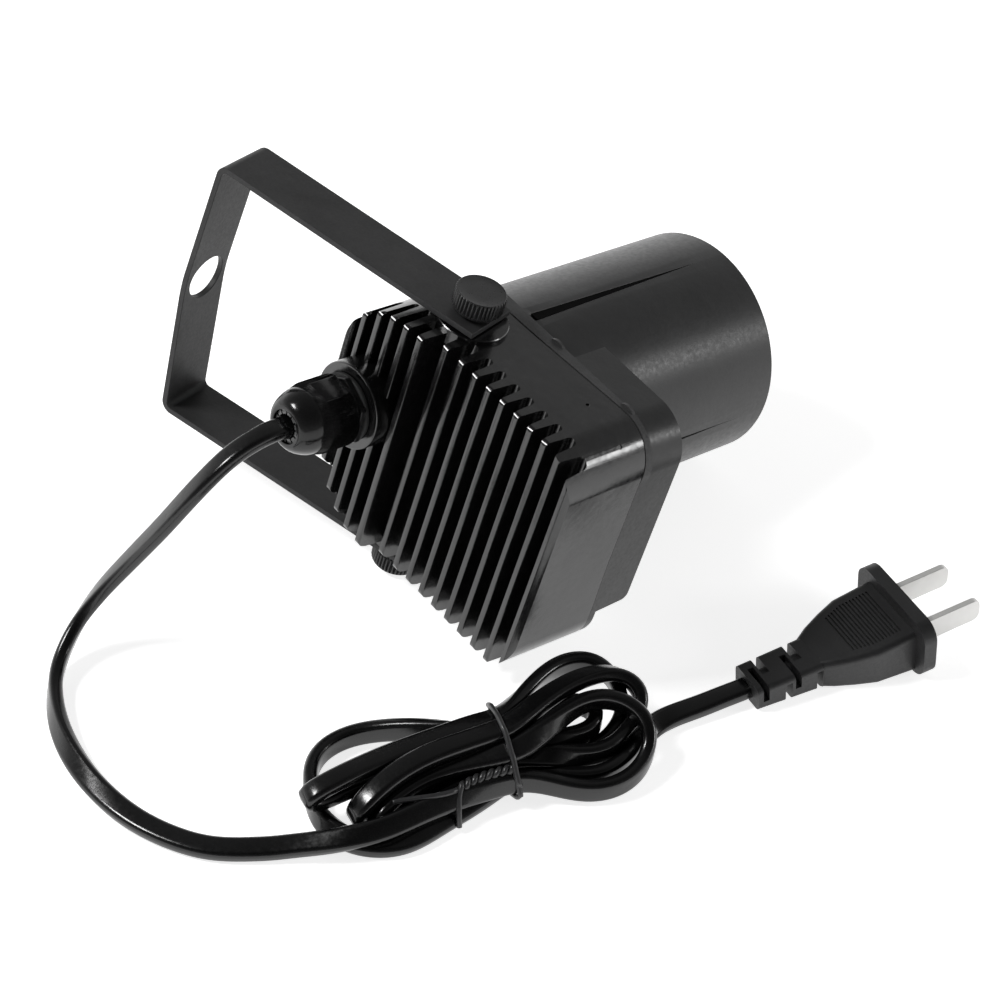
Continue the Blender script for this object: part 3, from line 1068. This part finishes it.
plug = pill("plug_v", 27.6, 15.6, 4.4, -3.3, 0.0, up=0.15)
relief = shaped("relief", 1.3, [(-25.2, 11.0, -5.1, 2.3), (-42.2, 10.0, -3.75, 2.8)])
relief.data.transform(Matrix.Translation((0.5, 0, 0)))
plug = combined(plug, [
    shaped("grip", 1.5, [(-2.5, 20.6, -7.7, 4.9), (-13.0, 20.2, -6.7, 3.9), (-18.0, 17.2, -6.2, 3.3),
                         (-22.5, 13.8, -5.8, 2.7), (-25.6, 10.6, -5.5, 2.1)]),
    relief], "UNION")
core = [(0, -45)]
for y0, y1, side in ((-26.9, -25.3, 1), (-30.2, -28.2, -1), (-35.1, -33.3, 1), (-38.6, -36.7, -1)):
    gap = block("gap", (-1.2, 7.0) if side > 0 else (-7.0, 1.2), (y0, y1), (-8.0, 1.0) if side > 0 else (-3.2, 5.0))
    gap = combined(gap, [stick("core", 2.9, -45, -20, "y", (0, -1.3), 28)], "DIFFERENCE")
    plug = combined(plug, [gap], "DIFFERENCE")
for y in (-40.1, -31.75):
    gap = block("gap", (-1.7, 9.0), (y - 0.75, y + 0.75), (-1.4, 6.0))
    gap = combined(gap, [stick("core", 2.3, -45, -20, "y", (0, -1.3), 28)], "DIFFERENCE")
    plug = combined(plug, [gap], "DIFFERENCE")
ribs = []
for i in range(14):
    y = -5.6 - 0.9 * i
    top = 4.6 - (4.6 - 3.6) * (-2.5 - y) / 10.5 if y > -13 else 3.6 - 0.6 * (-13.0 - y) / 5.0
    half = 7.2 if y > -13 else 7.2 - 1.5 * (-13.0 - y) / 5.0
    ribs.append(block("rib", (-half, half), (y - 0.2, y + 0.2), (top - 0.16, top + 1.0)))
plug = combined(plug, ribs, "DIFFERENCE")
plug = combined(plug, [block("bs1", (6.35 - 0.8, 6.35 + 0.8), (-9.0, 1.0), (-3.2, 3.2)),
                       block("bs2", (-6.35 - 0.8, -6.35 + 0.8), (-9.0, 1.0), (-3.2, 3.2)),
                       stick("cb", 2.0, -45.0, -38.5, "y", (0, -0.9), 28)], "DIFFERENCE")
plug = placed(eased(plug, 0.3, 30, 3, 60), PLUG_M)
plug.name = "plug_moulding"
stand_in(plug, "head", "black_rubber", PLUG, "plug_body")
for i, x in enumerate((6.35, -6.35)):
    tip = ([(-3.17, -8.6), (3.17, -8.6)] + arc(3.17 - 2.0, 16.5 - 2.0, 2.0, 0, 90, 8)
           + arc(-3.17 + 2.0, 16.5 - 2.0, 2.0, 90, 180, 8))
    ob = prism("blade", [(a, b) for b, a in tip], x - 0.75, x + 0.75, "x")
    ob = placed(eased(ob, 0.18, 40, 3), PLUG_M)
    ob.name = "blade_%d" % (i + 1)
    stand_in(ob, "head", "nickel", BLADE, "plug_blade_%d" % (i + 1))

# ------------------------------------------------------------ floor and light
floor_mesh = bpy.data.meshes.new("floor")
floor_mesh.from_pydata([(-6, -6, 0), (6, -6, 0), (6, 6, 0), (-6, 6, 0)], [], [(0, 1, 2, 3)])
floor = bpy.data.objects.new("floor", floor_mesh)
scene.collection.objects.link(floor)
paper = bpy.data.materials.new("white_paper")
paper.use_nodes = True
pb = paper.node_tree.nodes["Principled BSDF"]
pb.inputs["Base Color"].default_value = (0.82, 0.82, 0.82, 1)
pb.inputs["Roughness"].default_value = 0.9
pb.inputs["Specular IOR Level"].default_value = 0.1
pb.inputs["Emission Color"].default_value = (1, 1, 1, 1)
pb.inputs["Emission Strength"].default_value = 0.78
floor.data.materials.append(paper)

world = bpy.data.worlds.new("studio")
scene.world = world
world.use_nodes = True
wt = world.node_tree
bg = wt.nodes["Background"]
coord = wt.nodes.new("ShaderNodeTexCoord")
split = wt.nodes.new("ShaderNodeSeparateXYZ")
ramp = wt.nodes.new("ShaderNodeValToRGB")
wt.links.new(coord.outputs["Generated"], split.inputs["Vector"])
wt.links.new(split.outputs["Z"], ramp.inputs["Fac"])
el = ramp.color_ramp.elements
el[0].position, el[0].color = 0.0, (1.4, 1.4, 1.4, 1)
el[1].position, el[1].color = 1.0, (0.12, 0.12, 0.12, 1)
for pos, val in ((0.15, 1.28), (0.35, 0.6), (0.55, 0.34), (0.75, 0.18)):
    e = ramp.color_ramp.elements.new(pos)
    e.color = (val, val, val, 1)
side = wt.nodes.new("ShaderNodeVectorMath")
side.operation = "DOT_PRODUCT"
side.inputs[1].default_value = (0.73, -0.68, 0.0)
wt.links.new(coord.outputs["Generated"], side.inputs[0])
fade = wt.nodes.new("ShaderNodeMapRange")
fade.interpolation_type = "SMOOTHSTEP"
fade.inputs["From Min"].default_value = -0.5
fade.inputs["From Max"].default_value = 0.5
fade.inputs["To Min"].default_value = 0.22
fade.inputs["To Max"].default_value = 1.0
wt.links.new(side.outputs["Value"], fade.inputs["Value"])
shade = wt.nodes.new("ShaderNodeVectorMath")
shade.operation = "SCALE"
wt.links.new(ramp.outputs["Color"], shade.inputs[0])
wt.links.new(fade.outputs["Result"], shade.inputs["Scale"])
wt.links.new(shade.outputs["Vector"], bg.inputs["Color"])
bg.inputs["Strength"].default_value = 1.0


def softbox(name, at, target, size, power):
    data = bpy.data.lights.new(name, "AREA")
    data.shape = "RECTANGLE"
    data.size, data.size_y = size
    data.energy = power
    ob = bpy.data.objects.new(name, data)
    scene.collection.objects.link(ob)
    ob.location = at
    ob.rotation_euler = (Vector(target) - Vector(at)).to_track_quat("-Z", "Y").to_euler()
    return ob


def aimed(name, azimuth, elevation, distance, size, power):
    a, e = math.radians(azimuth), math.radians(elevation)
    at = (distance * math.cos(e) * math.cos(a), distance * math.cos(e) * math.sin(a),
          0.03 + distance * math.sin(e))
    return softbox(name, at, (0, 0, 0.03), size, power)


aimed("key", 54, 51, 1.2, (0.34, 0.26), 9.0)
aimed("side", -136, 16, 1.2, (0.28, 0.16), 1.9)

scene.view_settings.view_transform = "Standard"
scene.view_settings.look = "None"
scene.view_settings.exposure = 0.0
scene.view_settings.gamma = 1.0

# ------------------------------------------------------------------ hand over
dress(cord, PVC)
dress(tie_a, TIE)
dress(tie_b, TIE)
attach(cord, "head")
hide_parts("cord_lead", "cord_hank", "cord_tail")
for ob in (tie_a, tie_b):
    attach(ob, "head")
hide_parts("cord_tie")
